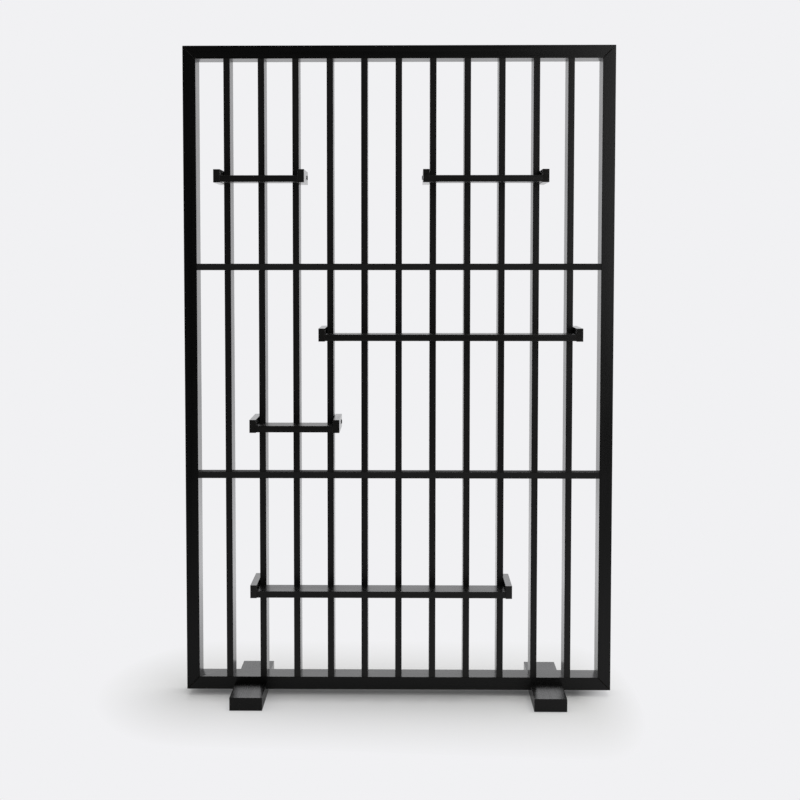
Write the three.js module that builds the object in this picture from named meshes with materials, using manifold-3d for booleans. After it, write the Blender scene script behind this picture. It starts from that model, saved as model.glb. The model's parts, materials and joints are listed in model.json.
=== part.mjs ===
// A free-standing room divider: a mitred frame on two feet, a row of upright slats,
// two crossbars let into the slats, and five small shelves that clamp onto the slats.
// Millimetres. +Z is up and the front faces -Y. The origin is on the floor, under the middle.
import * as THREE from "three";
import { RoundedBoxGeometry } from "three/addons/geometries/RoundedBoxGeometry.js";
import { mergeVertices } from "three/addons/utils/BufferGeometryUtils.js";
import Module from "manifold-3d";

const wasm = await Module();
wasm.setup();

// Fits and edges
const SEAT_GAP = 0.3; // between faces that rest on each other or are glued
const CUT_OVERRUN = 4; // how far a cut runs past the face that it opens
const EDGE_RADIUS = 0.6; // easing of the outer edges
const EDGE_STEPS = 2; // flats that make up an eased edge
const ROUND_SIDES = 16; // sides of a bolt
const HEXAGON = 6;

// Frame of two stiles and two rails, mitred at the corners
const FRAME_WIDTH = 1200;
const FRAME_HEIGHT = 1808;
const FRAME_DEPTH = 100;
const FRAME_FACE = 36; // face width of stiles and rails
const TONGUE_THICKNESS = 32; // tongue of a rail, hidden in its mitre
const TONGUE_MARGIN = 10; // wood left round the tongue
const MITRE_GROOVE = 1.5; // depth and half width of the fine groove along a mitre

// Slats and crossbars, which end in tenons
const SLAT_COUNT = 11;
const SLAT_FACE = 18;
const SLAT_SIDE_SHOULDER = 4; // step beside the tenon
const SLAT_END_SHOULDER = 10; // step in front of the tenon and behind it
const CROSSBAR_COUNT = 2;
const CROSSBAR_FACE = 18;
const CROSSBAR_DEPTH = 50;
const CROSSBAR_SHOULDER = 4; // step all round the tenon
const TENON_LENGTH = 12;

// Feet, which run from front to back under the bottom rail
const FOOT_LENGTH = 475;
const FOOT_WIDTH = 90;
const FOOT_HEIGHT = 36;
const FOOT_SETBACK = 137; // from the frame's side to the foot's outer side
const FOOT_WEB = 17; // wood left under the rail
const GLIDE_LENGTH = 44;
const GLIDE_THICKNESS = 2.5;
const GLIDE_PROUD = 1; // how far a glide stands out of the foot
const GLIDE_MARGIN = 14; // from a glide to the foot's sides and end
const GLIDE_CORNER = 8; // radius of a glide's corners

// Shelves: a board in front of the slats, between two cheeks that run back past them
const BOARD_DEPTH = 105;
const BOARD_THICKNESS = 18;
const BOARD_LIFT = 1.5; // from the cheeks' underside to the board's
const BOARD_SHOULDER = 4.5; // step above and below the board's tenon
const BOARD_END_SHOULDER = 14; // step in front of the board's tenon and behind it
const BOARD_TENON_LENGTH = 9;
const CHEEK_THICKNESS = 18;
const CHEEK_HEIGHT = 36;
const PAD_THICKNESS = 1; // rubber pad that grips the slat
const PAD_LENGTH = 70;
const PAD_MARGIN = 4; // from the pad to the cheek's top and underside
const PAD_CORNER = 3; // radius of the pad's corners

// Heights of the shelves above the rail or crossbar below them
const UPPER_SHELF_RISE = 222;
const MIDDLE_SHELF_RISE = 372;
const SMALL_SHELF_RISE = 120;
const LOWER_SHELF_RISE = 244;

// Bolts with domed socket heads
const CLAMP_BOLT = {
  radius: 3,
  headRadius: 6.5,
  headHeight: 1.9,
  crown: 0.8, // height of the head's sloping rim
  socketRadius: 2.3, // to the corners of the hexagon
  socketDepth: 1.3,
};
const FOOT_BOLT = {
  radius: 4,
  headRadius: 8,
  headHeight: 4.4,
  crown: 1.6,
  socketRadius: 2.9,
  socketDepth: 2.6,
};
const FOOT_BOLT_GRIP = 16; // length of the foot bolt in the rail
const COUNTERBORE_RADIUS = 11;
const COUNTERBORE_DEPTH = 7;

// Places worked out from the sizes above
const SIDES = [-1, 1]; // left and right, or front and back
const QUARTER_TURN = Math.PI / 2;
const SLAT_DEPTH = FRAME_DEPTH;
const RAIL_UNDERSIDE = GLIDE_PROUD + FOOT_WEB + SEAT_GAP;
const INNER_WIDTH = FRAME_WIDTH - 2 * FRAME_FACE;
const INNER_HEIGHT = FRAME_HEIGHT - 2 * FRAME_FACE;
const SLAT_SPACE = (INNER_WIDTH - SLAT_COUNT * SLAT_FACE) / (SLAT_COUNT + 1);
const SLAT_PITCH = SLAT_SPACE + SLAT_FACE;
const BAY_HEIGHT = (INNER_HEIGHT - CROSSBAR_COUNT * CROSSBAR_FACE) / (CROSSBAR_COUNT + 1);
const BAY_PITCH = BAY_HEIGHT + CROSSBAR_FACE;
const CROSSBAR_Y = (CROSSBAR_DEPTH - FRAME_DEPTH) / 2; // flush with the frame's front
const FOOT_X = FRAME_WIDTH / 2 - FOOT_SETBACK - FOOT_WIDTH / 2;
const CHEEK_GAP = PAD_THICKNESS + 2 * SEAT_GAP; // from a cheek to its slat
const SLAT_TENON = {
  face: SLAT_FACE - 2 * SLAT_SIDE_SHOULDER,
  depth: SLAT_DEPTH - 2 * SLAT_END_SHOULDER,
};
const CROSSBAR_TENON = {
  face: CROSSBAR_FACE - 2 * CROSSBAR_SHOULDER,
  depth: CROSSBAR_DEPTH - 2 * CROSSBAR_SHOULDER,
};
const BOARD_TENON = {
  face: BOARD_THICKNESS - 2 * BOARD_SHOULDER,
  depth: BOARD_DEPTH - SEAT_GAP - 2 * BOARD_END_SHOULDER,
};
const BOARD_Y = -(SLAT_DEPTH + BOARD_DEPTH + SEAT_GAP) / 2;
const BOARD_Z = BOARD_LIFT + BOARD_THICKNESS / 2;

// Bays are counted from the bottom, from 0, and slats from the left, from 1
const SHELVES = [
  { name: "shelf_1", bay: 2, rise: UPPER_SHELF_RISE, firstSlat: 1, lastSlat: 3 },
  { name: "shelf_2", bay: 2, rise: UPPER_SHELF_RISE, firstSlat: 7, lastSlat: 10 },
  { name: "shelf_3", bay: 1, rise: MIDDLE_SHELF_RISE, firstSlat: 4, lastSlat: 11 },
  { name: "shelf_4", bay: 1, rise: SMALL_SHELF_RISE, firstSlat: 2, lastSlat: 4 },
  { name: "shelf_5", bay: 0, rise: LOWER_SHELF_RISE, firstSlat: 2, lastSlat: 9 },
];

const FINISHES = {
  lacquer: { color: 0x14130f, roughness: 0.42, metalness: 0 },
  steel: { color: 0x1c1c1e, roughness: 0.38, metalness: 0.9 },
  rubber: { color: 0x232323, roughness: 0.9, metalness: 0 },
  felt: { color: 0x3a3733, roughness: 1, metalness: 0 },
};

// Places of count pieces a pitch apart, with their middle at 0
function spread(count, pitch) {
  return Array.from({ length: count }, (_, index) => (index - (count - 1) / 2) * pitch);
}

function slatX(number) {
  return spread(SLAT_COUNT, SLAT_PITCH)[number - 1];
}

// Turns a closed geometry into a solid that can be joined and cut
function solidFrom(geometry) {
  geometry.deleteAttribute("normal");
  geometry.deleteAttribute("uv");
  const merged = mergeVertices(geometry);
  return new wasm.Manifold(
    new wasm.Mesh({
      numProp: 3,
      vertProperties: Float32Array.from(merged.attributes.position.array),
      triVerts: Uint32Array.from(merged.index.array),
    }),
  );
}

function geometryFrom(solid) {
  const { vertProperties, numProp, triVerts } = solid.getMesh();
  const geometry = new THREE.BufferGeometry();
  geometry.setAttribute("position", new THREE.BufferAttribute(vertProperties, numProp));
  geometry.setIndex(new THREE.BufferAttribute(triVerts, 1));
  const faceted = geometry.toNonIndexed();
  faceted.computeVertexNormals();
  return faceted;
}

// Cuts every geometry of the list out of the solid
function cut(solid, geometries) {
  return geometries.reduce((rest, geometry) => rest.subtract(solidFrom(geometry)), solid);
}

function addPiece(parent, name, solid, finish, [x, y, z] = [0, 0, 0]) {
  const mesh = new THREE.Mesh(geometryFrom(solid), new THREE.MeshStandardMaterial(FINISHES[finish]));
  mesh.name = name;
  mesh.position.set(x, y, z);
  parent.add(mesh);
  return mesh;
}

// A box between two heights, centred on x and y
function box(width, depth, bottom, top) {
  return new THREE.BoxGeometry(width, depth, top - bottom).translate(0, 0, (top + bottom) / 2);
}

// A box with all its edges eased, centred
function easedBox(width, depth, height) {
  return new RoundedBoxGeometry(width, depth, height, EDGE_STEPS / 2, EDGE_RADIUS);
}

// A bar along Z between two heights, with rounded long edges and square ends
function roundedBar(width, depth, radius, bottom, top) {
  const [x, y] = [width / 2 - radius, depth / 2 - radius];
  const outline = new THREE.Shape();
  [[x, y], [-x, y], [-x, -y], [x, -y]].forEach(([cornerX, cornerY], corner) => {
    const start = corner * QUARTER_TURN;
    outline.absarc(cornerX, cornerY, radius, start, start + QUARTER_TURN);
  });
  const options = { depth: top - bottom, bevelEnabled: false, curveSegments: EDGE_STEPS };
  return new THREE.ExtrudeGeometry(outline, options).translate(0, 0, bottom);
}

// A rod along Z between two heights
function rod(radius, bottom, top, sides = ROUND_SIDES) {
  const cylinder = new THREE.CylinderGeometry(radius, radius, top - bottom, sides);
  return cylinder.rotateX(QUARTER_TURN).translate(0, 0, (top + bottom) / 2);
}

// A bolt along Z: its head stands on z = 0 and its shank hangs below
function bolt({ radius, headRadius, headHeight, crown, socketRadius, socketDepth }, shank) {
  const profile = [
    [0, -shank],
    [radius, -shank],
    [radius, 0],
    [headRadius, 0],
    [headRadius, headHeight - crown],
    [headRadius - crown, headHeight],
    [0, headHeight],
  ].map(([x, y]) => new THREE.Vector2(x, y));
  const body = new THREE.LatheGeometry(profile, ROUND_SIDES).rotateX(QUARTER_TURN);
  const socket = rod(socketRadius, headHeight - socketDepth, headHeight + CUT_OVERRUN, HEXAGON);
  return cut(solidFrom(body), [socket]);
}

// Cutters for a V-shaped groove along a mitre, on the front and on the back
function mitreGrooves(side, x) {
  const width = MITRE_GROOVE * Math.SQRT2;
  return SIDES.map((face) =>
    new THREE.BoxGeometry(width, width, 2 * FRAME_FACE)
      .rotateZ(QUARTER_TURN / 2)
      .rotateY((side * QUARTER_TURN) / 2)
      .translate(side * x, (face * FRAME_DEPTH) / 2, 0),
  );
}

// A stile or rail along X, its outer face up, with both ends mitred
function mitredMember(length) {
  const cutterSize = 2 * FRAME_FACE;
  const setback = SEAT_GAP / Math.SQRT2;
  const cornerX = (length - FRAME_FACE) / 2;
  const mitreX = cornerX - setback;
  const mitres = SIDES.map((side) =>
    new THREE.BoxGeometry(cutterSize, FRAME_DEPTH + 2 * CUT_OVERRUN, cutterSize)
      .translate(cutterSize / 2, 0, 0)
      .rotateY(QUARTER_TURN - (side * QUARTER_TURN) / 2)
      .translate(side * mitreX, 0, 0),
  );
  const grooves = SIDES.flatMap((side) => mitreGrooves(side, cornerX));
  return cut(solidFrom(easedBox(length, FRAME_DEPTH, FRAME_FACE)), [...mitres, ...grooves]);
}

// Mortises in the inner face of a frame member, one at each place along it
function mortises(places, y, tenon) {
  const innerFace = -FRAME_FACE / 2;
  const bottom = innerFace - CUT_OVERRUN;
  const top = innerFace + TENON_LENGTH + SEAT_GAP;
  const [width, depth] = [tenon.face + 2 * SEAT_GAP, tenon.depth + 2 * SEAT_GAP];
  return places.map((x) => box(width, depth, bottom, top).translate(x, y, 0));
}

// A rail, with a tongue at each end that fits into the stile behind the mitre
function rail() {
  const reach = FRAME_WIDTH / 2 - TONGUE_MARGIN;
  const height = FRAME_FACE / 2 - TONGUE_MARGIN;
  const tongue = box(2 * reach, TONGUE_THICKNESS, -height, height);
  const slots = mortises(spread(SLAT_COUNT, SLAT_PITCH), 0, SLAT_TENON);
  return cut(mitredMember(FRAME_WIDTH).add(solidFrom(tongue)), slots);
}

// The bottom rail, drilled from its outer face for the foot bolts
function bottomRail() {
  const outerFace = FRAME_FACE / 2;
  const bottom = outerFace - FOOT_BOLT_GRIP - SEAT_GAP;
  const hole = () => rod(FOOT_BOLT.radius + SEAT_GAP, bottom, outerFace + CUT_OVERRUN);
  return cut(rail(), SIDES.map((side) => hole().translate(side * FOOT_X, 0, 0)));
}

// A stile, with a mortise at each end for the rails' tongues
function stile() {
  const width = FRAME_FACE - 2 * TONGUE_MARGIN + 2 * SEAT_GAP;
  const [innerFace, outerFace] = [-FRAME_FACE / 2, FRAME_FACE / 2];
  const top = outerFace - TONGUE_MARGIN + SEAT_GAP;
  const x = (FRAME_HEIGHT - FRAME_FACE) / 2;
  const ends = SIDES.map((side) =>
    box(width, TONGUE_THICKNESS + 2 * SEAT_GAP, innerFace - CUT_OVERRUN, top).translate(side * x, 0, 0),
  );
  const slots = mortises(spread(CROSSBAR_COUNT, BAY_PITCH), CROSSBAR_Y, CROSSBAR_TENON);
  return cut(mitredMember(FRAME_HEIGHT), [...ends, ...slots]);
}

// A bar along Z between two frame members a span apart, with a tenon into each
function tenonedBar(face, depth, span, tenon) {
  const half = span / 2 - SEAT_GAP;
  const reach = span / 2 + TENON_LENGTH;
  const bar = solidFrom(roundedBar(face, depth, EDGE_RADIUS, -half, half));
  return bar.add(solidFrom(box(tenon.face, tenon.depth, -reach, reach)));
}

// A slat, notched from the front where the crossbars cross it
function slat() {
  const depth = CROSSBAR_DEPTH + SEAT_GAP + CUT_OVERRUN;
  const y = (depth - SLAT_DEPTH) / 2 - CUT_OVERRUN;
  const half = CROSSBAR_FACE / 2 + SEAT_GAP;
  const notches = spread(CROSSBAR_COUNT, BAY_PITCH).map((z) =>
    box(SLAT_FACE + 2 * CUT_OVERRUN, depth, -half, half).translate(0, y, z),
  );
  return cut(tenonedBar(SLAT_FACE, SLAT_DEPTH, INNER_HEIGHT, SLAT_TENON), notches);
}

function addFrame(parent) {
  const frame = new THREE.Group();
  frame.position.z = RAIL_UNDERSIDE + FRAME_HEIGHT / 2;
  parent.add(frame);
  const halfWidth = (FRAME_WIDTH - FRAME_FACE) / 2;
  const halfHeight = (FRAME_HEIGHT - FRAME_FACE) / 2;

  addPiece(frame, "top_rail", rail(), "lacquer", [0, 0, halfHeight]);
  const lower = addPiece(frame, "bottom_rail", bottomRail(), "lacquer", [0, 0, -halfHeight]);
  lower.rotation.y = 2 * QUARTER_TURN;
  ["left_stile", "right_stile"].forEach((name, index) => {
    const upright = addPiece(frame, name, stile(), "lacquer", [SIDES[index] * halfWidth, 0, 0]);
    upright.rotation.y = SIDES[index] * QUARTER_TURN;
  });
  spread(SLAT_COUNT, SLAT_PITCH).forEach((x, index) => {
    const number = String(index + 1).padStart(2, "0");
    addPiece(frame, `slat_${number}`, slat(), "lacquer", [x, 0, 0]);
  });
  spread(CROSSBAR_COUNT, BAY_PITCH).forEach((z, index) => {
    const bar = tenonedBar(CROSSBAR_FACE, CROSSBAR_DEPTH, INNER_WIDTH, CROSSBAR_TENON);
    const name = `crossbar_${index + 1}`;
    addPiece(frame, name, bar, "lacquer", [0, CROSSBAR_Y, z]).rotation.y = QUARTER_TURN;
  });
}

// A felt glide between two heights, or with an allowance the recess for it
function glideBar(bottom, top, allowance) {
  const width = FOOT_WIDTH - 2 * GLIDE_MARGIN + 2 * allowance;
  const length = GLIDE_LENGTH + 2 * allowance;
  return roundedBar(width, length, GLIDE_CORNER + allowance, bottom, top);
}

function glideY(side) {
  return side * (FOOT_LENGTH / 2 - GLIDE_MARGIN - GLIDE_LENGTH / 2);
}

// A foot with its underside at z = 0: notched for the rail, bored for its bolt and
// recessed for its glides
function foot() {
  const notch = box(
    FOOT_WIDTH + 2 * CUT_OVERRUN,
    FRAME_DEPTH + 2 * SEAT_GAP,
    FOOT_WEB,
    FOOT_HEIGHT + CUT_OVERRUN,
  );
  const hole = rod(FOOT_BOLT.radius + SEAT_GAP, -CUT_OVERRUN, FOOT_WEB + CUT_OVERRUN);
  const counterbore = rod(COUNTERBORE_RADIUS, -CUT_OVERRUN, COUNTERBORE_DEPTH);
  const depth = GLIDE_THICKNESS - GLIDE_PROUD + SEAT_GAP;
  const recesses = SIDES.map((side) =>
    glideBar(-CUT_OVERRUN, depth, SEAT_GAP).translate(0, glideY(side), 0),
  );
  const body = easedBox(FOOT_WIDTH, FOOT_LENGTH, FOOT_HEIGHT).translate(0, 0, FOOT_HEIGHT / 2);
  return cut(solidFrom(body), [notch, hole, counterbore, ...recesses]);
}

function addFoot(parent, name, x) {
  const group = new THREE.Group();
  group.position.set(x, 0, GLIDE_PROUD);
  parent.add(group);
  addPiece(group, name, foot(), "lacquer");
  const headSeat = COUNTERBORE_DEPTH - SEAT_GAP;
  const tip = FOOT_WEB + SEAT_GAP + FOOT_BOLT_GRIP;
  const screw = addPiece(group, `${name}_bolt`, bolt(FOOT_BOLT, tip - headSeat), "steel", [0, 0, headSeat]);
  screw.rotation.y = 2 * QUARTER_TURN;
  ["front", "back"].forEach((end, index) => {
    const glide = solidFrom(glideBar(-GLIDE_PROUD, GLIDE_THICKNESS - GLIDE_PROUD, 0));
    addPiece(group, `${name}_${end}_glide`, glide, "felt", [0, glideY(SIDES[index]), 0]);
  });
}

// A shelf's board, centred, with a tenon at each end for cheeks a span apart
function board(span) {
  const body = easedBox(span - 2 * SEAT_GAP, BOARD_DEPTH - SEAT_GAP, BOARD_THICKNESS);
  const half = BOARD_TENON.face / 2;
  const tongue = box(span + 2 * BOARD_TENON_LENGTH, BOARD_TENON.depth, -half, half);
  return solidFrom(body).add(solidFrom(tongue));
}

// A cheek on one side, with x = 0 at its inner face and z = 0 at its underside. The board's
// tenon enters its inner face, and the clamp bolt passes through it level with the slat.
function cheek(side) {
  const body = easedBox(CHEEK_THICKNESS, BOARD_DEPTH + SLAT_DEPTH, CHEEK_HEIGHT);
  body.translate((side * CHEEK_THICKNESS) / 2, -BOARD_DEPTH / 2, CHEEK_HEIGHT / 2);
  const [width, depth] = [BOARD_TENON.face + 2 * SEAT_GAP, BOARD_TENON.depth + 2 * SEAT_GAP];
  const mortise = box(width, depth, -CUT_OVERRUN, BOARD_TENON_LENGTH + SEAT_GAP);
  mortise.rotateY(side * QUARTER_TURN).translate(0, BOARD_Y, BOARD_Z);
  const hole = rod(CLAMP_BOLT.radius + SEAT_GAP, -CUT_OVERRUN, CHEEK_THICKNESS + CUT_OVERRUN);
  hole.rotateY(side * QUARTER_TURN).translate(0, 0, CHEEK_HEIGHT / 2);
  return cut(solidFrom(body), [mortise, hole]);
}

function pad() {
  const height = CHEEK_HEIGHT - 2 * PAD_MARGIN;
  return solidFrom(roundedBar(height, PAD_LENGTH, PAD_CORNER, 0, PAD_THICKNESS));
}

function addShelf(parent, { name, bay, rise, firstSlat, lastSlat }) {
  const [firstX, lastX] = [slatX(firstSlat), slatX(lastSlat)];
  const span = lastX - firstX + SLAT_FACE + 2 * CHEEK_GAP; // between the cheeks
  const shelf = new THREE.Group();
  const floor = RAIL_UNDERSIDE + FRAME_FACE + bay * BAY_PITCH;
  shelf.position.set((firstX + lastX) / 2, 0, floor + rise);
  parent.add(shelf);

  addPiece(shelf, `${name}_board`, board(span), "lacquer", [0, BOARD_Y, BOARD_Z]);
  ["left", "right"].forEach((end, index) => {
    const side = SIDES[index];
    const innerFace = span / 2;
    const outerFace = innerFace + CHEEK_THICKNESS;
    addPiece(shelf, `${name}_${end}_cheek`, cheek(side), "lacquer", [side * innerFace, 0, 0]);

    const shank = CHEEK_THICKNESS + SEAT_GAP;
    const boltPlace = [side * (outerFace + SEAT_GAP), 0, CHEEK_HEIGHT / 2];
    const screw = addPiece(shelf, `${name}_${end}_bolt`, bolt(CLAMP_BOLT, shank), "steel", boltPlace);
    screw.rotation.y = side * QUARTER_TURN;

    const padPlace = [side * (innerFace - SEAT_GAP - PAD_THICKNESS), 0, CHEEK_HEIGHT / 2];
    const grip = addPiece(shelf, `${name}_${end}_pad`, pad(), "rubber", padPlace);
    grip.rotation.y = side * QUARTER_TURN;
  });
}

const divider = new THREE.Group();
addFrame(divider);
addFoot(divider, "left_foot", -FOOT_X);
addFoot(divider, "right_foot", FOOT_X);
SHELVES.forEach((shelf) => addShelf(divider, shelf));

export default divider;
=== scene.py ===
"""Looks of the slatted room divider: satin black lacquer over straight-grained wood, dark steel
bolts, rubber pads and felt glides, on a pale floor in soft light. Metres. +Z is up and the front
faces -Y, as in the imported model."""

import functools
import json
import math

import bmesh
import bpy
from mathutils import Matrix, Vector


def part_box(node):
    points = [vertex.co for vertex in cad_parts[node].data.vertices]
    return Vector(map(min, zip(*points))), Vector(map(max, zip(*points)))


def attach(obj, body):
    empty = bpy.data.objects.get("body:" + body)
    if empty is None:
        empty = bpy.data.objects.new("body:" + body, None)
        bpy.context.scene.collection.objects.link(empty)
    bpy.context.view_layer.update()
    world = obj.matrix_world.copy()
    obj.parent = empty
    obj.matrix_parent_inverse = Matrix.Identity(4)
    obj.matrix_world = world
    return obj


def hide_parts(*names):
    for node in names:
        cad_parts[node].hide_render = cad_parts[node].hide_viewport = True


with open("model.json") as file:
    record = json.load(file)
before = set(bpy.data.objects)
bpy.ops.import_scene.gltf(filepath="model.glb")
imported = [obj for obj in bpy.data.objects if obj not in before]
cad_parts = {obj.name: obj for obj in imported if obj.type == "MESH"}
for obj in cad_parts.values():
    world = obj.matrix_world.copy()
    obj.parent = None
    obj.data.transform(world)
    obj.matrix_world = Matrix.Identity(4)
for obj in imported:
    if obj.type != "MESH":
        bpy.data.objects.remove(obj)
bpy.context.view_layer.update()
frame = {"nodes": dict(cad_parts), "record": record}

QUARTER_TURN = math.pi / 2

# Camera
SENSOR_WIDTH = 36.0  # millimetres
PICTURE_WIDTH_PX = 800
FOCAL_LENGTH_PX = 1896.3
CAMERA_PLACE = Vector((0.02326, -5.35265, 1.25211))
CAMERA_YAW = math.radians(1.04)
CAMERA_PITCH = math.radians(4.4182)
CAMERA_ROLL = math.radians(-0.0175)
CAMERA_SHIFT_SHARE = 0.03435  # sideways, of the picture's width

# Lacquer on each kind of member, by the words that its nodes' names hold
# The blacks of the slats, crossbars, boards and cheeks are paler than the frame's: painted glare from
# the pale backdrop round them
LACQUERS = {
    ("rail", "stile", "foot"): {"dark": 0.0019, "pale": 0.0033, "roughness": 0.255},
    ("slat",): {"dark": 0.0068, "pale": 0.0094, "roughness": 0.265},
    ("crossbar",): {"dark": 0.0058, "pale": 0.0082, "roughness": 0.58},
    ("board",): {"dark": 0.006, "pale": 0.0084, "roughness": 0.265},
    ("cheek",): {"dark": 0.0082, "pale": 0.011, "roughness": 0.165},
}
WARM_BLACK_SHARES = (1.0, 0.96, 0.91)  # red, green and blue
WORN_COLOUR = (0.02, 0.0165, 0.013, 1)
LACQUER_IOR = 1.45
GRAIN_STRETCH_SHARE = 0.012  # how fast the grain changes along the wood, of how fast across it

# Noise in the lacquer, with its scale per metre, and the bands of its values that matter
RINGS = {"Scale": 95.0, "Detail": 3.0, "Distortion": 0.35}
RING_BAND = (0.3, 0.7)
PORES = {"Scale": 620.0, "Detail": 4.0, "Roughness": 0.62}
PORE_BAND = (0.56, 0.72)
PEEL = {"Scale": 420.0, "Detail": 1.0}
HANDLING = {"Scale": 4.5, "Detail": 3.0, "Roughness": 0.55}
HANDLING_BAND = (0.3, 0.7)
WEAR = {"Scale": 130.0, "Detail": 4.0}
WEAR_BAND = (0.4, 0.7)
WEAR_LEAST_SHARE = 0.15
EDGE_BAND = (0.995, 0.85)  # largest part of the normal where an edge starts and where it is full

# What each of these adds to the lacquer's roughness, the first two either way
HANDLING_ROUGHNESS = 0.02
RING_ROUGHNESS = 0.015
PORE_ROUGHNESS = 0.05
WORN_ROUGHNESS = 0.04

# Relief of the lacquer
RING_HEIGHT = 0.000008
PORE_DEPTH = 0.000006
PEEL_HEIGHT = 0.000002

# Steel with a black oxide finish
STEEL_DARK = (0.012, 0.012, 0.013, 1)
STEEL_PALE = (0.034, 0.034, 0.037, 1)
STEEL_METALLIC = 0.85
STEEL_MOTTLE = {"Scale": 900.0, "Detail": 4.0, "Roughness": 0.6}
STEEL_COLOUR_BAND = (0.35, 0.7)
STEEL_GLOSS_BAND = (0.3, 0.7)
STEEL_ROUGHNESS = (0.3, 0.42)
STEEL_GRIT = {"Scale": 5200.0, "Detail": 2.0}
STEEL_GRIT_HEIGHT = 0.000004

# Rubber
RUBBER_DARK = (0.012, 0.012, 0.012, 1)
RUBBER_PALE = (0.024, 0.0235, 0.023, 1)
RUBBER_DUST = {"Scale": 160.0, "Detail": 3.0}
RUBBER_DUST_BAND = (0.4, 0.75)
RUBBER_GRIT = {"Scale": 2600.0, "Detail": 3.0}
RUBBER_GRIT_BAND = (0.3, 0.7)
RUBBER_GRIT_HEIGHT = 0.00002
RUBBER_ROUGHNESS = (0.78, 0.92)

# Felt
FELT_DARK = (0.018, 0.017, 0.016, 1)
FELT_PALE = (0.075, 0.07, 0.065, 1)
FELT_FIBRES = {"Scale": 1700.0, "Detail": 5.0, "Roughness": 0.7, "Distortion": 2.2}
FELT_CLUMPS = {"Scale": 260.0, "Detail": 3.0}
FELT_BAND = (0.75, 1.25)  # of the fibres and the clumps together
FELT_FIBRE_HEIGHT = 0.00012
FELT_ROUGHNESS = 1.0
FELT_SHEEN = 0.4
FELT_SHEEN_ROUGHNESS = 0.6

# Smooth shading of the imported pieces
SHARP_ANGLE = math.radians(50)
WELD = 0.00002  # corners that are closer than this are joined

# Lacquer that has run into the mitres, in a strip along the front and one along the back
FILM_THICKNESS = 0.00026
FILM_DEPTH = 0.01
FILM_SETBACK = 0.0017  # from the frame's front or back face
FILM_INSET = 0.0009  # from the frame's inner and outer corners
FILM_TAPER = 0.0008  # length of the point at each end

# Bolts
BOLT_SIDES = 48
BOLT_ANGLES = [2 * math.pi * side / BOLT_SIDES for side in range(BOLT_SIDES)]
BOLT_CROWN_STEPS = 8
BOLT_SHANK_SHARE = 0.46  # of the head's radius
BOLT_CHAMFER_SHARE = 0.25  # of the shank's radius
BOLT_SOCKET_SHARE = 0.36  # out to the hexagon's corners, of the head's radius
BOLT_MOUTH_SHARE = 1.08  # the chamfered mouth of the socket, of the socket's radius
BOLT_FLAT_SHARE = 1.35  # the flat round the socket, of the socket's radius
BOLT_SOCKET_FLOOR_SHARE = 0.4  # above the head's underside, of the head's height
BOLT_CROWN_SHARE = 0.7  # of the head's height
BOLT_BEVEL_SHARE = 0.05  # of the head's height
FOOT_HEAD_SHARE = 0.55  # the head's height on a foot's bolt, of its radius
CLAMP_HEAD_SHARE = 0.2923  # the head's height on a cheek's bolt, of its radius

# The end of its axis that a bolt's head is on, low (-1) or high (1), by the end of its node's name
BOLT_HEAD_ENDS = {"foot_bolt": -1, "left_bolt": -1, "right_bolt": 1}

# Floor
FLOOR_SIZE = 60.0
FLOOR_COLOUR = (0.8, 0.8, 0.768, 1)
FLOOR_DARK = (0, 0, 0, 1)

# X or Y where the shadow on the floor starts to fade, and where it is gone
SHADOW_LEFT = (-0.54, -0.87)
SHADOW_RIGHT = (0.5, 0.68)
SHADOW_FRONT = (0.0, -0.69)
SHADOW_BACK = (0.0, 0.72)
SHADOW_SLANT_SHARE = 0.11  # how far it reaches further forwards, of the way to the right
SHADOW_LIFT_SHARE = 0.14  # plain studio colour in the shadow beside the object

# X or Y where the darker shadow under the object starts to fade, and where it is gone
UNDER_SIDES = ((-0.59, -0.62), (0.5, 0.58))
UNDER_ENDS = ((0.0, -0.14), (0.05, 0.2))
UNDER_LIFT_SHARE = 0.45  # of what lifts the shadow beside the object

# How bright the floor is in reflections, as shares of what the camera sees
FRONT_FLOOR_EDGE = (0.0, -0.1)  # Y where the back floor ends and where the front floor starts
FRONT_FLOOR_REACH = (-6.0, -0.2)  # Y where the front floor is black and where it is brightest
FRONT_FLOOR_SHARE = 0.32
FRONT_FLOOR_SIDES = (-1.2, 1.2)  # X between which the front floor grows brighter
FRONT_FLOOR_SIDE_SHARES = (0.75, 1.85)
BACK_FLOOR_BAND = ((0.7, 2.0), (6.0, 3.5))  # Y where a brighter band starts and is full, near and far
BACK_FLOOR_SHARE = 1.35

# Room: the bands are the part along X, Y or Z of the direction that a reflection looks in
STUDIO_COLOUR = (0.8796, 0.8796, 0.8963, 1)
STUDIO_DARK = (0.012, 0.012, 0.012, 1)
DOME_STRENGTH = 0.62
BACKDROP_BAND = (-0.5, 0.3)  # Y, from the dark room in front to the pale backdrop
UPWARD_BAND = (0.1, 0.75)  # Z, where the backdrop grows darker
UPWARD_SHARE = 0.35
SIDE_FILL_BAND = (0.45, 0.75)  # X, either way, where the room grows paler
SIDE_FILL_SHARE = 0.3

SOFTBOXES = {
    "front_right_softbox": {
        "place": (2.2, -5.05, 2.13),
        "towards": (0, 1, 0),
        "width": 1.8,
        "height": 2.88,
        "watts": 30.0,
        "in_reflections": True,
    },
    "overhead_softbox": {
        "place": (0.6, 0.4, 3.6),
        "towards": (0, 0, -1),
        "width": 3.0,
        "height": 2.4,
        "watts": 60.0,
        "in_reflections": False,
    },
}


# Nodes
def add_node(tree, kind, inputs=None, **settings):
    """A node with its settings, and its inputs set to a value or linked to a socket."""
    node = tree.nodes.new(kind)
    for name, value in settings.items():
        setattr(node, name, value)
    for name, value in (inputs or {}).items():
        if isinstance(value, bpy.types.NodeSocket):
            tree.links.new(value, node.inputs[name])
        else:
            node.inputs[name].default_value = value
    return node


def maths(tree, operation, *values):
    """The result of an operation on numbers or sockets."""
    inputs = dict(enumerate(values))
    return add_node(tree, "ShaderNodeMath", inputs, operation=operation).outputs[0]


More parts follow.
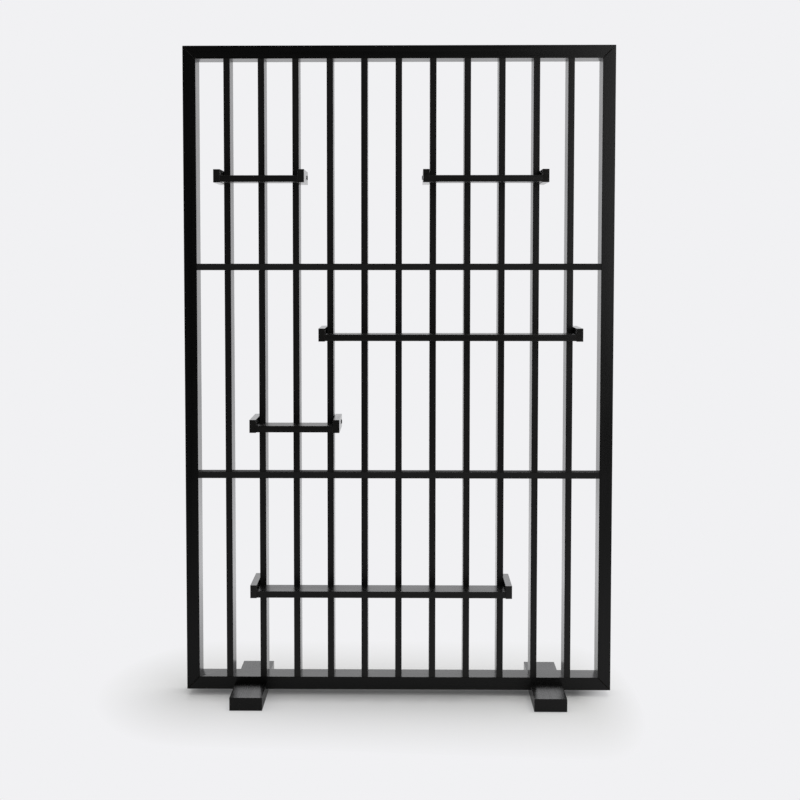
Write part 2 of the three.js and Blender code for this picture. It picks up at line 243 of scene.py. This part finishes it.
def total(tree, *values):
    result = values[0]
    for value in values[1:]:
        result = maths(tree, "ADD", result, value)
    return result


def remap(tree, value, low, high, to_low=0.0, to_high=1.0):
    """The value's range from low to high, turned into another range and kept inside it."""
    inputs = {
        "Value": value,
        "From Min": low,
        "From Max": high,
        "To Min": to_low,
        "To Max": to_high,
    }
    return add_node(tree, "ShaderNodeMapRange", inputs, clamp=True).outputs["Result"]


def between(tree, amount, first, second):
    """From first, where the amount is 0, to second, where it is 1."""
    return remap(tree, amount, 0.0, 1.0, first, second)


def mix(tree, factor, first, second, kind="RGBA"):
    """First where the factor is 0 and second where it is 1: colours, or numbers as FLOAT."""
    inputs = {"Factor": factor, "A": first, "B": second}
    return add_node(tree, "ShaderNodeMix", inputs, data_type=kind).outputs["Result"]


def mix_shaders(tree, factor, first, second):
    inputs = {0: factor, 1: first.outputs[0], 2: second.outputs[0]}
    return add_node(tree, "ShaderNodeMixShader", inputs)


def parts_of(tree, vector):
    """A vector's parts, as the sockets X, Y and Z."""
    return add_node(tree, "ShaderNodeSeparateXYZ", {"Vector": vector}).outputs


def vector_maths(tree, operation, vector):
    return add_node(tree, "ShaderNodeVectorMath", {"Vector": vector}, operation=operation).outputs


def noise(tree, place, pattern):
    """Noise over a place, in one of the patterns above."""
    return add_node(tree, "ShaderNodeTexNoise", {"Vector": place, **pattern}).outputs["Fac"]


def object_place(tree):
    """Where a point is on the piece, in metres."""
    return add_node(tree, "ShaderNodeTexCoord").outputs["Object"]


def bump(tree, height, distance, normal=None):
    """The normal of a relief, on top of the relief that another normal holds."""
    inputs = {"Height": height, "Distance": distance}
    if normal:
        inputs["Normal"] = normal
    return add_node(tree, "ShaderNodeBump", inputs).outputs["Normal"]


def edge_mask(tree):
    """1 on the rounded edges and 0 on the flat faces that show, which face along X, Y or Z."""
    normal = add_node(tree, "ShaderNodeTexCoord").outputs["Normal"]
    parts = parts_of(tree, vector_maths(tree, "ABSOLUTE", normal)["Vector"])
    largest = maths(tree, "MAXIMUM", parts["X"], parts["Y"])
    largest = maths(tree, "MAXIMUM", largest, parts["Z"])
    return remap(tree, largest, *EDGE_BAND)


# Materials
def new_material(name):
    """A material, and its node tree, which is still empty."""
    material = bpy.data.materials.new(name)
    material.use_nodes = True
    tree = material.node_tree
    tree.nodes.clear()
    return material, tree


def close_material(tree, shader):
    add_node(tree, "ShaderNodeOutputMaterial", {"Surface": shader.outputs[0]})


def close_principled(tree, inputs):
    close_material(tree, add_node(tree, "ShaderNodeBsdfPrincipled", inputs))


def warm_black(level):
    return (*(level * share for share in WARM_BLACK_SHARES), 1)


@functools.cache
def black_lacquer(words, axis):
    """Satin black lacquer for members with one of the words in their names. The grain of the
    wood shows through it, along X (0), Y (1) or Z (2)."""
    look = LACQUERS[words]
    material, tree = new_material(f"satin_black_lacquer_{words[0]}_{'xyz'[axis]}")
    place = object_place(tree)
    stretch = [1.0, 1.0, 1.0]
    stretch[axis] = GRAIN_STRETCH_SHARE
    along = add_node(tree, "ShaderNodeMapping", {"Vector": place, "Scale": stretch}).outputs[0]

    rings = noise(tree, along, RINGS)
    pores = remap(tree, noise(tree, along, PORES), *PORE_BAND)
    peel = noise(tree, place, PEEL)
    handling = noise(tree, place, HANDLING)
    wear = remap(tree, noise(tree, place, WEAR), *WEAR_BAND, WEAR_LEAST_SHARE, 1.0)
    worn = maths(tree, "MULTIPLY", edge_mask(tree), wear)

    grain = remap(tree, rings, *RING_BAND)
    # Grain between two blacks; on the thinner members both blacks are raised by painted glare from
    # the pale backdrop
    grain_stain_and_glare = mix(tree, grain, warm_black(look["dark"]), warm_black(look["pale"]))
    roughest = look["roughness"] + HANDLING_ROUGHNESS
    smoothest = look["roughness"] - HANDLING_ROUGHNESS
    roughness = total(
        tree,
        remap(tree, handling, *HANDLING_BAND, smoothest, roughest),
        remap(tree, rings, *RING_BAND, -RING_ROUGHNESS, RING_ROUGHNESS),
        between(tree, pores, 0.0, PORE_ROUGHNESS),
        between(tree, worn, 0.0, WORN_ROUGHNESS),
    )
    relief = bump(tree, pores, -PORE_DEPTH)
    relief = bump(tree, rings, RING_HEIGHT, relief)
    relief = bump(tree, peel, PEEL_HEIGHT, relief)
    close_principled(
        tree,
        {
            "Base Color": mix(tree, worn, grain_stain_and_glare, WORN_COLOUR),
            "Roughness": roughness,
            "IOR": LACQUER_IOR,
            "Normal": relief,
        },
    )
    return material


def black_steel():
    """Steel with a mottled black oxide finish and a fine grit."""
    material, tree = new_material("black_oxide_steel")
    place = object_place(tree)
    mottle = noise(tree, place, STEEL_MOTTLE)
    grit = noise(tree, place, STEEL_GRIT)
    close_principled(
        tree,
        {
            "Base Color": mix(tree, remap(tree, mottle, *STEEL_COLOUR_BAND), STEEL_DARK, STEEL_PALE),
            "Metallic": STEEL_METALLIC,
            "Roughness": remap(tree, mottle, *STEEL_GLOSS_BAND, *STEEL_ROUGHNESS),
            "Normal": bump(tree, grit, STEEL_GRIT_HEIGHT),
        },
    )
    return material


def black_rubber():
    """Matt rubber with a fine grit and paler, dusty patches."""
    material, tree = new_material("matt_black_rubber")
    place = object_place(tree)
    grit = noise(tree, place, RUBBER_GRIT)
    dust = noise(tree, place, RUBBER_DUST)
    close_principled(
        tree,
        {
            "Base Color": mix(tree, remap(tree, dust, *RUBBER_DUST_BAND), RUBBER_DARK, RUBBER_PALE),
            "Roughness": remap(tree, grit, *RUBBER_GRIT_BAND, *RUBBER_ROUGHNESS),
            "Normal": bump(tree, grit, RUBBER_GRIT_HEIGHT),
        },
    )
    return material


def grey_felt():
    """Pressed felt: short matted fibres of mixed greys."""
    material, tree = new_material("pressed_grey_felt")
    place = object_place(tree)
    fibres = noise(tree, place, FELT_FIBRES)
    matting = total(tree, fibres, noise(tree, place, FELT_CLUMPS))
    close_principled(
        tree,
        {
            "Base Color": mix(tree, remap(tree, matting, *FELT_BAND), FELT_DARK, FELT_PALE),
            "Roughness": FELT_ROUGHNESS,
            "Sheen Weight": FELT_SHEEN,
            "Sheen Roughness": FELT_SHEEN_ROUGHNESS,
            "Normal": bump(tree, fibres, FELT_FIBRE_HEIGHT),
        },
    )
    return material


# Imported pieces
def smoothing_group():
    """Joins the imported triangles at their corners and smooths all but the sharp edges."""
    group = bpy.data.node_groups.new("join_and_smooth", "GeometryNodeTree")
    for direction in ("INPUT", "OUTPUT"):
        group.interface.new_socket("Geometry", in_out=direction, socket_type="NodeSocketGeometry")
    source = group.nodes.new("NodeGroupInput").outputs[0]
    bare = add_node(
        group,
        "GeometryNodeRemoveAttribute",
        {"Geometry": source, "Name": "custom_normal"},
    )
    joined = add_node(
        group,
        "GeometryNodeMergeByDistance",
        {"Geometry": bare.outputs[0], "Distance": WELD},
    )
    smooth = add_node(
        group,
        "GeometryNodeSetShadeSmooth",
        {"Geometry": joined.outputs[0], "Shade Smooth": True},
        domain="FACE",
    )
    angle = add_node(group, "GeometryNodeInputMeshEdgeAngle").outputs[0]
    is_sharp = add_node(
        group,
        "FunctionNodeCompare",
        {"A": angle, "B": SHARP_ANGLE},
        data_type="FLOAT",
        operation="GREATER_THAN",
    ).outputs[0]
    sharp = add_node(
        group,
        "GeometryNodeSetShadeSmooth",
        {"Geometry": smooth.outputs[0], "Selection": is_sharp, "Shade Smooth": False},
        domain="EDGE",
    )
    add_node(group, "NodeGroupOutput", {0: sharp.outputs[0]})
    return group


def join_and_smooth(piece, smoothing):
    piece.modifiers.new("join_and_smooth", "NODES").node_group = smoothing


def longest_axis(node):
    """X (0), Y (1) or Z (2), whichever the node is longest along."""
    low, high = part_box(node)
    size = high - low
    return max(range(3), key=lambda axis: size[axis])


def lacquer_for(node):
    """The lacquer for a node's kind of member, with the grain along the node."""
    words = next(words for words in LACQUERS if any(word in node for word in words))
    return black_lacquer(words, longest_axis(node))


def finish_packed_pieces(finishes, smoothing):
    """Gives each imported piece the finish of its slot, or else the lacquer of its kind."""
    for node, piece in frame["nodes"].items():
        slot = piece.material_slots[0]
        slot.material = finishes.get(slot.material.name) or lacquer_for(node)
        join_and_smooth(piece, smoothing)
        piece.modifiers.new("even_shading", "WEIGHTED_NORMAL").keep_sharp = True


# Pieces made here
def add_object(name, data):
    thing = bpy.data.objects.new(name, data)
    bpy.context.scene.collection.objects.link(thing)
    return thing


def finish_mesh(name, shape):
    """The mesh of a bmesh that is complete."""
    mesh = bpy.data.meshes.new(name)
    shape.normal_update()
    shape.to_mesh(mesh)
    shape.free()
    return mesh


def film_mesh(name, length):
    """A thin strip in its XZ plane, with its length along X, its depth along Z and pointed ends."""
    half, depth = length / 2, FILM_DEPTH / 2
    outline = [
        (-half, 0),
        (FILM_TAPER - half, -depth),
        (half - FILM_TAPER, -depth),
        (half, 0),
        (half - FILM_TAPER, depth),
        (FILM_TAPER - half, depth),
    ]
    shape = bmesh.new()
    front, back = (
        [shape.verts.new((x, side * FILM_THICKNESS / 2, z)) for x, z in outline]
        for side in (-1, 1)
    )
    shape.faces.new(front)
    shape.faces.new(back[::-1])
    for index in range(len(outline)):
        following = (index + 1) % len(outline)
        shape.faces.new((front[following], front[index], back[index], back[following]))
    return finish_mesh(name, shape)


def add_mitre_films():
    """Closes the fine gap of each mitre, so that no light shines through it."""
    backwards = Vector((0, 1, 0))
    for rail, vertical in (("top_rail", 1), ("bottom_rail", -1)):
        low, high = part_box(rail)
        length = (high.z - low.z) * math.sqrt(2) - 2 * FILM_INSET
        for side, side_name in ((-1, "left"), (1, "right")):
            stile_low, stile_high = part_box(f"{side_name}_stile")
            # The strip's length follows the mitre and its depth runs back from the face
            along = Vector((side, 0, vertical)).normalized()
            turn = Matrix((along, backwards.cross(along), backwards)).transposed().to_4x4()
            for end, end_name in ((-1, "front"), (1, "back")):
                name = f"{rail}_{side_name}_{end_name}_film"
                film = add_object(name, film_mesh(name, length))
                # The mitre runs through the middle of the stile's and the rail's faces
                place = (low + high) / 2
                place.x = (stile_low.x + stile_high.x) / 2
                place.y += end * ((high.y - low.y - FILM_DEPTH) / 2 - FILM_SETBACK)
                film.matrix_world = Matrix.Translation(place) @ turn
                film.data.materials.append(lacquer_for(rail))
                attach(film, "frame")


def hexagon_radii(corner_radius):
    """Distances from a hexagon's middle to its sides, at the bolt's angles."""
    sixth = math.pi / 3
    flat_radius = corner_radius * math.cos(sixth / 2)
    return [flat_radius / math.cos(angle % sixth - sixth / 2) for angle in BOLT_ANGLES]


def add_loop(shape, radii, z):
    """Points round Z at one height, with a radius for each of the bolt's angles."""
    return [
        shape.verts.new((radius * math.cos(angle), radius * math.sin(angle), z))
        for radius, angle in zip(radii, BOLT_ANGLES)
    ]


def bolt_mesh(name, head_radius, length, head_height):
    """A bolt along Z with its head's underside at z = 0, the head above and the shank below."""
    shank = head_radius * BOLT_SHANK_SHARE
    chamfer = shank * BOLT_CHAMFER_SHARE
    socket = head_radius * BOLT_SOCKET_SHARE
    flat = socket * BOLT_FLAT_SHARE
    socket_floor = head_height * BOLT_SOCKET_FLOOR_SHARE
    crown = head_height * BOLT_CROWN_SHARE
    bevel = head_height * BOLT_BEVEL_SHARE
    tip = head_height - length

    rounds = [
        (shank - chamfer, tip),
        (shank, tip + chamfer),
        (shank, -bevel),
        (shank + bevel, 0),
        (head_radius - bevel, 0),
        (head_radius, bevel),
        (head_radius, head_height - crown),
    ]
    for step in range(1, BOLT_CROWN_STEPS + 1):
        turn = QUARTER_TURN * step / BOLT_CROWN_STEPS
        radius = flat + (head_radius - flat) * math.cos(turn)
        rounds.append((radius, head_height - crown + crown * math.sin(turn)))
    hexagons = [
        (socket * BOLT_MOUTH_SHARE, head_height),
        (socket, head_height - bevel),
        (socket, socket_floor),
    ]

    shape = bmesh.new()
    loops = [add_loop(shape, [radius] * BOLT_SIDES, z) for radius, z in rounds]
    loops += [add_loop(shape, hexagon_radii(radius), z) for radius, z in hexagons]
    sides = [(side, (side + 1) % BOLT_SIDES) for side in range(BOLT_SIDES)]
    for lower, upper in zip(loops, loops[1:]):
        for i, j in sides:
            shape.faces.new((lower[i], lower[j], upper[j], upper[i]))
    # A fan of triangles closes each end, facing down at the tip and up in the socket
    for loop, z, order in ((loops[0], tip, -1), (loops[-1], socket_floor, 1)):
        middle = shape.verts.new((0, 0, z))
        for i, j in sides:
            corners = (loop[i], loop[j], middle)
            shape.faces.new(corners[::order])
    return finish_mesh(name, shape)


def add_bolt(node, body, steel, smoothing):
    """Replaces a packed bolt by a rounder one in the same place, its head on the same end."""
    low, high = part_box(node)
    size = high - low
    axis = longest_axis(node)
    across = (axis + 1) % 3
    head_end = next(end for ending, end in BOLT_HEAD_ENDS.items() if node.endswith(ending))
    head_share = FOOT_HEAD_SHARE if node.endswith("foot_bolt") else CLAMP_HEAD_SHARE
    head_radius = size[across] / 2
    head_height = head_radius * head_share

    name = f"{node}_turned"
    piece = add_object(name, bolt_mesh(name, head_radius, size[axis], head_height))
    direction = Vector((0, 0, 0))
    direction[axis] = head_end
    turn = Vector((0, 0, 1)).rotation_difference(direction).to_matrix().to_4x4()
    underside = (low + high) / 2
    underside[axis] = (high if head_end > 0 else low)[axis] - head_end * head_height
    piece.matrix_world = Matrix.Translation(underside) @ turn
    piece.data.materials.append(steel)
    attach(piece, body)
    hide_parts(node)
    join_and_smooth(piece, smoothing)


def add_bolts(steel, smoothing):
    for body, members in frame["record"]["behaviour"]["bodies"].items():
        for node in members:
            if node.endswith("_bolt"):
                add_bolt(node, body, steel, smoothing)


# Studio
def add_camera():
    data = bpy.data.cameras.new("camera")
    data.sensor_width = SENSOR_WIDTH
    data.lens = FOCAL_LENGTH_PX * SENSOR_WIDTH / PICTURE_WIDTH_PX
    data.shift_x = CAMERA_SHIFT_SHARE
    camera = add_object("camera", data)
    yaw = Matrix.Rotation(CAMERA_YAW, 4, "Z")
    pitch = Matrix.Rotation(QUARTER_TURN - CAMERA_PITCH, 4, "X")
    roll = Matrix.Rotation(CAMERA_ROLL, 4, "Z")
    camera.matrix_world = Matrix.Translation(CAMERA_PLACE) @ yaw @ pitch @ roll
    bpy.context.scene.camera = camera


def plain_share(tree, place):
    """How much of the plain studio colour shows: little in the shadow and all of it far out."""
    left, right = (remap(tree, place["X"], *ends) for ends in (SHADOW_LEFT, SHADOW_RIGHT))
    slanted = maths(tree, "MULTIPLY_ADD", place["X"], SHADOW_SLANT_SHARE, place["Y"])
    front = remap(tree, slanted, *SHADOW_FRONT)
    back = remap(tree, place["Y"], *SHADOW_BACK)
    inputs = {"X": total(tree, left, right), "Y": total(tree, front, back)}
    apart = add_node(tree, "ShaderNodeCombineXYZ", inputs).outputs["Vector"]
    away = vector_maths(tree, "LENGTH", apart)["Value"]
    clear = total(
        tree,
        *(remap(tree, place["X"], *ends) for ends in UNDER_SIDES),
        *(remap(tree, place["Y"], *ends) for ends in UNDER_ENDS),
    )
    return maths(
        tree,
        "MULTIPLY",
        between(tree, away, SHADOW_LIFT_SHARE, 1.0),
        between(tree, clear, UNDER_LIFT_SHARE, 1.0),
    )


def floor_level(tree, place):
    """1, except in reflections, which see a dim floor in front and a bright band behind."""
    fading = remap(tree, place["Y"], *FRONT_FLOOR_REACH, 0.0, FRONT_FLOOR_SHARE)
    sloping = remap(tree, place["X"], *FRONT_FLOOR_SIDES, *FRONT_FLOOR_SIDE_SHARES)
    front = maths(tree, "MULTIPLY", fading, sloping)
    band = maths(tree, "MULTIPLY", *(remap(tree, place["Y"], *ends) for ends in BACK_FLOOR_BAND))
    back = between(tree, band, 1.0, BACK_FLOOR_SHARE)
    is_front = remap(tree, place["Y"], *FRONT_FLOOR_EDGE)
    reflected = mix(tree, is_front, back, front, "FLOAT")
    is_glossy = add_node(tree, "ShaderNodeLightPath").outputs["Is Glossy Ray"]
    return mix(tree, is_glossy, 1.0, reflected, "FLOAT")


def floor_material():
    """Pale floor that shows the shadow near the object and the plain studio colour further out."""
    material, tree = new_material("studio_floor")
    place = parts_of(tree, object_place(tree))
    level = floor_level(tree, place)
    colour = mix(tree, level, FLOOR_DARK, FLOOR_COLOUR)
    near = add_node(tree, "ShaderNodeBsdfDiffuse", {"Color": colour})
    far = add_node(tree, "ShaderNodeEmission", {"Color": STUDIO_COLOUR, "Strength": level})
    close_material(tree, mix_shaders(tree, plain_share(tree, place), near, far))
    return material


def add_floor():
    half = FLOOR_SIZE / 2
    corners = [(-half, -half, 0), (half, -half, 0), (half, half, 0), (-half, half, 0)]
    mesh = bpy.data.meshes.new("studio_floor")
    mesh.from_pydata(corners, [], [range(len(corners))])
    mesh.materials.append(floor_material())
    add_object("studio_floor", mesh)


def background(tree, colour, strength=1.0):
    return add_node(tree, "ShaderNodeBackground", {"Color": colour, "Strength": strength})


def add_world():
    """Even pale light from all round. Reflections see a dark room in front and a pale one behind."""
    world = bpy.data.worlds.new("studio")
    bpy.context.scene.world = world
    world.use_nodes = True
    tree = world.node_tree
    tree.nodes.clear()
    direction = add_node(tree, "ShaderNodeTexCoord").outputs["Generated"]
    parts = parts_of(tree, direction)
    behind = remap(tree, parts["Y"], *BACKDROP_BAND)
    low = remap(tree, parts["Z"], *UPWARD_BAND, 1.0, UPWARD_SHARE)
    backdrop = maths(tree, "MULTIPLY", behind, low)
    sideways = maths(tree, "ABSOLUTE", parts["X"])
    side = remap(tree, sideways, *SIDE_FILL_BAND, 0.0, SIDE_FILL_SHARE)
    paleness = maths(tree, "MAXIMUM", backdrop, side)

    reflected = background(tree, mix(tree, paleness, STUDIO_DARK, STUDIO_COLOUR))
    dome = background(tree, STUDIO_COLOUR, DOME_STRENGTH)
    seen = background(tree, STUDIO_COLOUR)
    rays = add_node(tree, "ShaderNodeLightPath").outputs
    shader = mix_shaders(tree, rays["Is Glossy Ray"], dome, reflected)
    shader = mix_shaders(tree, rays["Is Camera Ray"], shader, seen)
    shader = mix_shaders(tree, rays["Is Transmission Ray"], shader, seen)
    add_node(tree, "ShaderNodeOutputWorld", {"Surface": shader.outputs[0]})


def add_softbox(name, place, towards, width, height, watts, in_reflections):
    data = bpy.data.lights.new(name, "AREA")
    data.shape = "RECTANGLE"
    data.size = width
    data.size_y = height
    data.energy = watts
    lamp = add_object(name, data)
    lamp.location = place
    lamp.rotation_euler = Vector(towards).to_track_quat("-Z", "Y").to_euler()
    lamp.visible_camera = False
    lamp.visible_glossy = in_reflections


finishes = {"black_steel": black_steel(), "black_rubber": black_rubber(), "grey_felt": grey_felt()}
smoothing = smoothing_group()
finish_packed_pieces(finishes, smoothing)
add_mitre_films()
add_bolts(finishes["black_steel"], smoothing)

add_camera()
add_floor()
add_world()
for name, settings in SOFTBOXES.items():
    add_softbox(name, **settings)
bpy.context.scene.view_settings.view_transform = "Standard"
